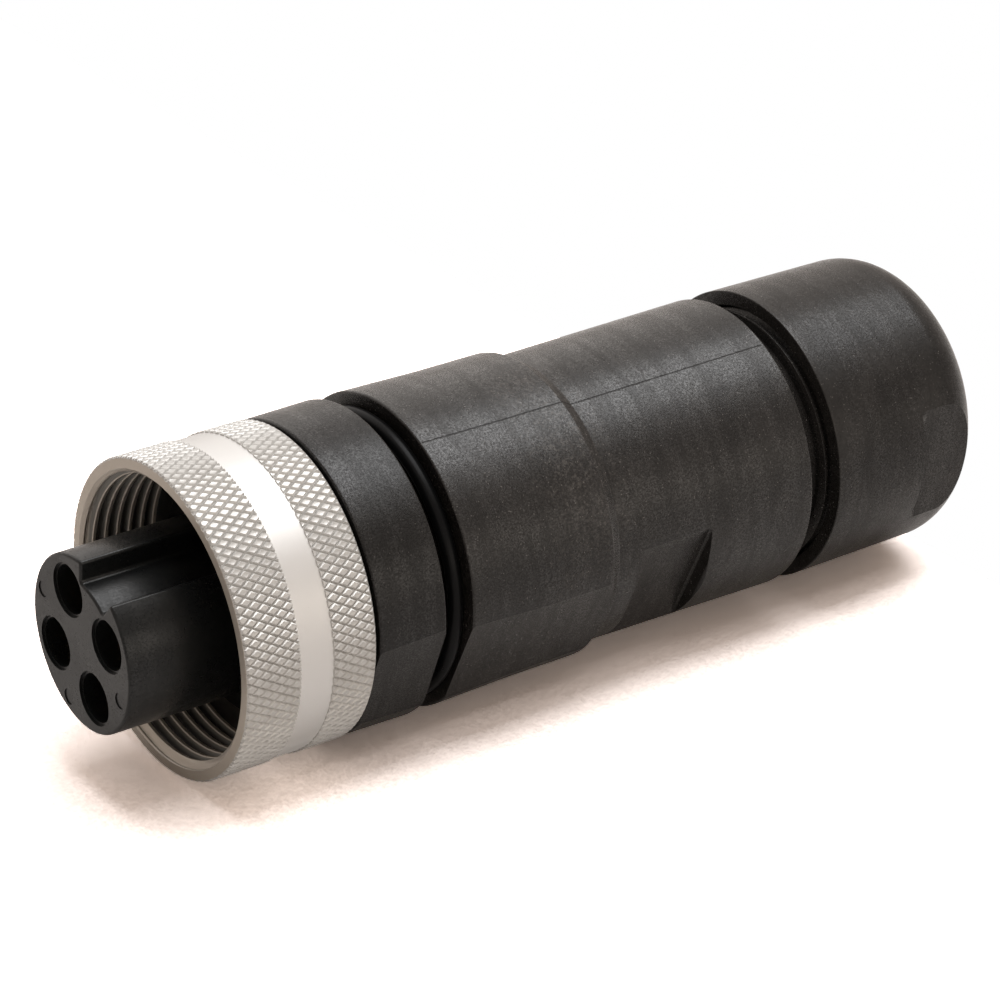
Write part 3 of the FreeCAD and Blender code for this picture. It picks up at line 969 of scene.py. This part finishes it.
@dataclass
class SealRing:
    """Round seal ring in the groove between collar and shell."""

    section: float = 0.9
    centre_radius: float = 16.55
    middle: float = 78.35
    steps: int = 240

    def build(self, material: Material) -> Object:
        """Build and dress the ring.

        Args:
            material: its finish.

        Returns:
            The piece.
        """
        shape = Shape("collar_seal_ring_rubber")
        upright = Matrix.Rotation(math.pi / 2, 4, "X")
        place = Matrix.Translation((self.centre_radius, 0.0, self.middle)) @ upright
        bmesh.ops.create_circle(shape.mesh, segments=28, radius=self.section, matrix=place)
        shape.spin(shape.mesh.edges[:], self.steps)
        clean(shape.mesh)
        return shape.piece(material, Body.CONNECTOR, Slot.RUBBER, ["collar_seal_ring"], sharp_deg=40.0)


@dataclass
class RearShell:
    """Moulded shell with a wide front, a slim rear, gripping flats and a neck for the gland nut."""

    neck_bottom: float = 15.8
    bottom: float = 27.7
    step: float = 56.1
    top: float = 77.4
    wide_radius: float = 18.62
    wide_taper: float = 0.25
    taper_bottom: float = 66.4
    slim_radius: float = 17.6
    slim_taper: float = 0.35
    step_angle_deg: float = 34.0
    step_rounding: float = 0.4
    edge_rounding: float = 0.3
    neck_core: float = 14.45
    neck_bore: float = 12.7
    thread_crest: float = 15.85
    thread_root: float = 14.95
    thread_pitch: float = 1.5
    thread_bottom: float = 16.913
    thread_top: float = 24.45
    socket_radius: float = 15.7
    socket_bottom: float = 65.9
    cavity_radius: float = 14.3
    cavity_bottom: float = 32.95
    ledge_radius: float = 9.6
    ledge_bottom: float = 30.45
    flat_distance: float = 17.65
    flat_angle_deg: float = 176.5
    pocket_distance: float = 15.8
    pocket_bottom: float = 42.7
    pocket_top: float = 53.1
    floor_rounding: float = 0.4
    rim_rounding: float = 0.6
    steps: int = 300

    def build(self, material: Material) -> Object:
        """Build and dress the shell.

        Args:
            material: its finish.

        Returns:
            The piece.
        """
        shape = Shape("rear_shell_moulding")
        slope = math.tan(math.radians(self.step_angle_deg))
        crown = self.step + (self.wide_radius - self.slim_radius) / slope
        shape.turn([
            Corner(self.neck_bore, self.neck_bottom),
            Corner(self.neck_core, self.neck_bottom, 0.3),
            Corner(self.neck_core, self.bottom, 0.3),
            Corner(self.slim_radius_at(self.bottom), self.bottom, self.edge_rounding),
            Corner(self.slim_radius, self.step, self.step_rounding),
            Corner(self.wide_radius, crown, self.step_rounding),
            Corner(self.wide_radius, self.taper_bottom),
            Corner(self.wide_radius + self.wide_taper, self.top, self.edge_rounding),
            Corner(self.socket_radius, self.top, 0.3),
            Corner(self.socket_radius, self.socket_bottom),
            Corner(self.cavity_radius, self.socket_bottom),
            Corner(self.cavity_radius, self.cavity_bottom),
            Corner(self.ledge_radius, self.cavity_bottom),
            Corner(self.ledge_radius, self.ledge_bottom),
            Corner(self.neck_bore, self.ledge_bottom),
        ], self.steps)
        flat = [Corner(self.flat_distance, self.step), Corner(self.flat_distance, self.top)]
        shape.press(flat, self.flat_angle_deg)
        shape.press(self.pocket(), self.flat_angle_deg)
        thread = Thread(self.thread_crest, self.thread_root, self.thread_pitch, self.thread_bottom,
                        self.thread_top, (self.neck_bore + self.neck_core) / 2)
        shape.take(thread.build())
        return shape.piece(material, Body.CONNECTOR, Slot.HOUSING, ["rear_shell"])

    def slim_radius_at(self, height: float) -> float:
        """Return the radius of the slim rear, which grows a little towards the gland."""
        return self.slim_radius + self.slim_taper * (self.step - height) / (self.step - self.bottom)

    def pocket(self) -> list[Corner]:
        """Draw a pocket, whose end walls lean a trace so that each height is met once.

        Returns:
            The corners in order.
        """
        flare = 2 * self.rim_rounding
        rear_rim = self.slim_radius_at(self.pocket_bottom - flare) + 0.05
        front_rim = self.slim_radius_at(self.pocket_top) + 0.05
        lean = 0.01
        return [
            Corner(rear_rim, self.pocket_bottom - flare),
            Corner(rear_rim, self.pocket_bottom - lean, self.rim_rounding),
            Corner(self.pocket_distance, self.pocket_bottom + lean, self.floor_rounding),
            Corner(self.pocket_distance, self.pocket_top - lean, self.floor_rounding),
            Corner(front_rim, self.pocket_top + lean, self.rim_rounding),
            Corner(front_rim, self.pocket_top + flare),
        ]


@dataclass
class GlandNut:
    """Moulded cap nut with a large rear rounding, a cable hole and two flats."""

    radius: float = 18.0
    rear_radius: float = 17.75
    length: float = 23.6
    rear_rounding: float = 6.0
    edge_rounding: float = 0.15
    thread_radius: float = 16.15
    floor: float = 10.9
    hole_radius: float = 8.6
    hole_chamfer: float = 0.8
    flat_distance: float = 16.2
    flat_height: float = 9.4
    flat_run_out: float = 0.8
    flat_angle_deg: float = 17.0
    steps: int = 300

    def build(self, material: Material) -> Object:
        """Build and dress the gland nut.

        Args:
            material: its finish.

        Returns:
            The piece.
        """
        shape = Shape("gland_nut_moulding")
        shape.turn([
            Corner(self.hole_radius + self.hole_chamfer, 0.0, 0.2),
            Corner(self.rear_radius, 0.0, self.rear_rounding),
            Corner(self.radius, self.length, self.edge_rounding),
            Corner(self.thread_radius + self.edge_rounding, self.length),
            Corner(self.thread_radius, self.length - self.edge_rounding),
            Corner(self.thread_radius, self.floor),
            Corner(self.hole_radius, self.floor),
            Corner(self.hole_radius, self.hole_chamfer, 0.2),
        ], self.steps, 14)
        shape.press([
            Corner(self.flat_distance, 0.0),
            Corner(self.flat_distance, self.flat_height),
            Corner(self.radius, self.flat_height + self.flat_run_out),
        ], self.flat_angle_deg)
        return shape.piece(material, Body.GLAND_NUT, Slot.HOUSING, ["gland_nut"])


@dataclass
class ContactInsert:
    """Moulded nose with a keyway, contact bores with fine rims and round ejector marks."""

    sharp_deg: float = 20.0

    def build(self, material: Material) -> Object:
        """Merge a copy of the node's mesh and dress it.

        Args:
            material: its finish.

        Returns:
            The piece.
        """
        shape = Shape("contact_insert_moulding")
        shape.copy_node("contact_insert")
        return shape.piece(material, Body.CONNECTOR, Slot.INSERT, ["contact_insert"], self.sharp_deg, True)


@dataclass
class CableSeal:
    """Rubber sleeve that the clamp ring squeezes against its ledge as the gland nut is screwed on."""

    length: float = 12.0
    fixed_end: float = 30.45
    squeeze: float = 3.55
    sharp_deg: float = 20.0

    def build(self, material: Material) -> Object:
        """Merge a copy of the node's mesh, dress it and give the piece a mesh of its own.

        Args:
            material: its finish.

        Returns:
            The piece.
        """
        shape = Shape("cable_seal_rubber")
        shape.copy_node("cable_seal")
        piece = shape.piece(material, Body.CONNECTOR, Slot.RUBBER, ["cable_seal"], self.sharp_deg)
        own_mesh(piece)
        return piece


# Stage


@dataclass(frozen=True)
class SoftBox:
    """Soft box that faces the axis, with its measures in metres."""

    name: str
    angle_deg: float
    height: float
    width: float
    radiance: float
    colour: Colour
    length: float = 0.85
    distance: float = 0.7

    def hang(self) -> None:
        """Add the lamp, with its length along the axis, and turn it towards the axis."""
        lamp = bpy.data.lights.new(self.name, "AREA")
        lamp.shape = "RECTANGLE"
        lamp.size = self.width
        lamp.size_y = self.length
        lamp.energy = self.radiance * math.pi * self.width * self.length
        lamp.color = self.colour
        back = outwards(math.radians(self.angle_deg))
        place = Matrix((Vector(AXIS).cross(back), AXIS, back)).transposed().to_4x4()
        place.translation = back * self.distance + Vector((0, 0, self.height))
        holder = add_object(self.name, lamp)
        holder.matrix_world = place
        holder.visible_camera = False


@dataclass
class Stage:
    """White table beside the connector, white floor under it, soft boxes and the camera."""

    table_angle_deg: float = 112.95
    table_distance: float = 18.96
    size: float = 6.0
    sheet_colour: Colour = (0.74, 0.70, 0.67)
    sheet_seen: tuple[Colour, Colour] = ((2.06, 1.86, 1.77), (2.60, 2.35, 2.25))
    fill_colour: Colour = (0.25, 0.21, 0.18)
    room_colour: Colour = (0.62, 0.555, 0.505)
    lens: float = 144.0
    camera_place: tuple[float, float, float] = (-233.93, -327.32, 303.54)
    camera_right: tuple[float, float, float] = (-0.53222, -0.22563, -0.81598)
    camera_up: tuple[float, float, float] = (0.6834, -0.6834, -0.25678)
    boxes: tuple[SoftBox, ...] = (
        SoftBox("overhead_box", -66.0, -0.17, 0.48, 4.1, (0.97, 0.985, 1.0)),
        SoftBox("edge_box", -94.0, -0.17, 0.18, 0.9, (1.0, 0.98, 0.96)),
        SoftBox("upper_box", -12.0, -0.05, 0.66, 0.65, (1.0, 0.98, 0.96)),
        SoftBox("side_box", -146.0, -0.05, 0.26, 1.0, (1.0, 0.92, 0.82)),
        SoftBox("rear_box", 112.95, 0.10, 0.60, 0.8, (1.0, 1.0, 1.0), length=0.80),
    )

    def direction(self) -> Vector:
        """Return the direction from the axis to the table."""
        return outwards(math.radians(self.table_angle_deg))

    def plane(self, name: str, matrix: Matrix, material: Material) -> Object:
        """Make a large square.

        Args:
            name: its name.
            matrix: its place; it faces the matrix's Z.
            material: its finish.

        Returns:
            The square.
        """
        mesh = bmesh.new()
        bmesh.ops.create_grid(mesh, x_segments=1, y_segments=1, size=self.size / 2)
        bmesh.ops.transform(mesh, matrix=matrix, verts=mesh.verts[:])
        square = add_mesh(name, mesh, material)
        return square

    def table(self) -> None:
        """Stand the table sheet beside the connector; its back can be seen through."""
        graph = Graph(bpy.data.materials.new("table_white"))
        camera = graph.value(graph.node("ShaderNodeLightPath"), "Is Camera Ray")
        fibre = graph.noise(graph.place(), 2.2, 3.0, 0.6).rise(0.35, 0.65)
        seen = graph.mix(fibre, *self.sheet_seen)
        white = graph.shader("ShaderNodeBsdfDiffuse", Color=graph.mix(camera, self.sheet_colour, seen))
        clear = graph.shader("ShaderNodeBsdfTransparent")
        back = graph.value(graph.node("ShaderNodeNewGeometry"), "Backfacing")
        material = graph.finish(graph.blend(back, white, clear))
        towards = self.direction()
        turn = (-towards).to_track_quat("Z", "Y").to_matrix().to_4x4()
        place = Matrix.Translation(towards * self.table_distance * MM)
        sheet = self.plane("table_sheet", place @ turn, material)
        sheet.visible_shadow = False

    def floor(self) -> None:
        """Lay the floor: plain white before the table sheet, and with the shadow behind it."""
        graph = Graph(bpy.data.materials.new("floor_white"))
        x, y, _ = graph.parts(graph.place())
        towards = self.direction()
        beyond = (x * towards.x + y * towards.y).rise(self.table_distance, self.table_distance + 1.0)
        white = graph.shader("ShaderNodeEmission", Color=(1.0, 1.0, 1.0), Strength=1.0)
        matt = graph.shader("ShaderNodeBsdfDiffuse", Color=(0.80, 0.80, 0.80))
        glow = graph.shader("ShaderNodeEmission", Color=(1.0, 0.98, 0.96), Strength=0.45)
        both = graph.node("ShaderNodeAddShader", sockets={0: matt, 1: glow}).outputs[0]
        ground = self.plane("floor", Matrix.Identity(4), graph.finish(graph.blend(beyond, white, both)))
        for ray in ("diffuse", "glossy", "transmission", "shadow"):
            setattr(ground, f"visible_{ray}", False)

    def world(self) -> None:
        """Give white to the camera, a warm grey room to reflections and a soft fill to the rest."""
        world = bpy.data.worlds.new("studio")
        bpy.context.scene.world = world
        graph = Graph(world)
        rays = graph.node("ShaderNodeLightPath")
        seen = graph.value(rays, "Is Camera Ray").math("MAXIMUM", graph.value(rays, "Is Transmission Ray"))
        mirrored = graph.mix(graph.value(rays, "Is Glossy Ray"), self.fill_colour, self.room_colour)
        graph.finish(graph.shader("ShaderNodeBackground", Color=graph.mix(seen, mirrored, (1.0, 1.0, 1.0))))

    def camera(self) -> None:
        """Set the camera in front of the nose, off to the side that the table leaves free."""
        data = bpy.data.cameras.new("camera")
        data.lens = self.lens
        data.sensor_width = 36.0
        data.clip_start = 0.01
        data.clip_end = 20.0
        right = Vector(self.camera_right)
        up = Vector(self.camera_up)
        place = Matrix((right, up, right.cross(up))).transposed().to_4x4()
        place.translation = Vector(self.camera_place) * MM
        camera = add_object("camera", data)
        camera.matrix_world = place
        bpy.context.scene.camera = camera

    def build(self) -> None:
        """Set up the whole stage."""
        self.table()
        self.floor()
        self.world()
        for box in self.boxes:
            box.hang()
        self.camera()
        bpy.context.scene.view_settings.view_transform = "Standard"


def dress_nodes(finishes: dict[str, Material]) -> None:
    """Give the carried-over nodes their materials.

    Args:
        finishes: a material for each node's name.
    """
    for name, material in finishes.items():
        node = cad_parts[name]
        node.data.materials.clear()
        node.data.materials.append(material)
        log.info("%s: dressed with %s", name, material.name)


def main() -> None:
    """Build the pieces, dress the nodes and set the stage."""
    logging.basicConfig(level=logging.INFO, format="%(message)s")
    housing = MouldedFinish("housing_nylon", film=0.05, specular=0.22, glitter=0.62, dust=0.15).material()
    shell = MouldedFinish("shell_nylon", film=0.15, dust=0.30, scuff=1.2, scuff_height=60.0,
                          seam_angles_deg=(-93.5, 86.5), seam_bottom=28.2, seam_top=77.0).material()
    gland = MouldedFinish("gland_nylon", film=0.18, specular=0.20, glitter=0.55, dust=0.25).material()
    insert = MouldedFinish("insert_nylon", colour=(0.0042, 0.0050, 0.0053), film=0.03, specular=0.24,
                           roughness=0.30, grain_height=0.006, glitter=0.40, dust=0.0).material()
    clamp = MouldedFinish("clamp_nylon", colour=(0.05, 0.05, 0.05), film_colour=(0.09, 0.09, 0.09),
                          dust=0.0).material()
    # the nut's face colour is painted shade on its front face and in its bore
    nut = TurnedMetalFinish("nut_metal", (0.58, 0.57, 0.55), (0.47, 0.455, 0.435), 0.45,
                            face_height=CouplingNut.top, face_colour=(0.52, 0.47, 0.41),
                            band_bottom=CouplingNut.band_bottom, band_top=CouplingNut.band_top,
                            band_colour=(0.72, 0.71, 0.695)).material()
    steel = TurnedMetalFinish("spring_steel", (0.46, 0.46, 0.46), (0.36, 0.36, 0.36), 0.30).material()
    brass = TurnedMetalFinish("contact_brass", (0.72, 0.56, 0.28), (0.58, 0.44, 0.21), 0.28).material()
    screw = TurnedMetalFinish("screw_steel", (0.52, 0.52, 0.50), (0.40, 0.40, 0.38), 0.30).material()
    rubber = RubberFinish("seal_rubber").material()

    CouplingNut().build(nut)
    FrontCollar().build(housing)
    SealRing().build(rubber)
    RearShell().build(shell)
    GlandNut().build(gland)
    ContactInsert().build(insert)
    CableSeal().build(rubber)
    finishes = {
        "nut_holding_ring": steel,
        "insert_seal": rubber,
        "face_seal": rubber,
        "terminal_block": insert,
        "clamp_ring": clamp,
        "thrust_washer": clamp,
    }
    for number in range(1, 5):
        finishes[f"socket_contact_{number}"] = brass
        finishes[f"terminal_screw_{number}"] = screw
    dress_nodes(finishes)
    Stage().build()


if __name__ == "__main__":
    main()
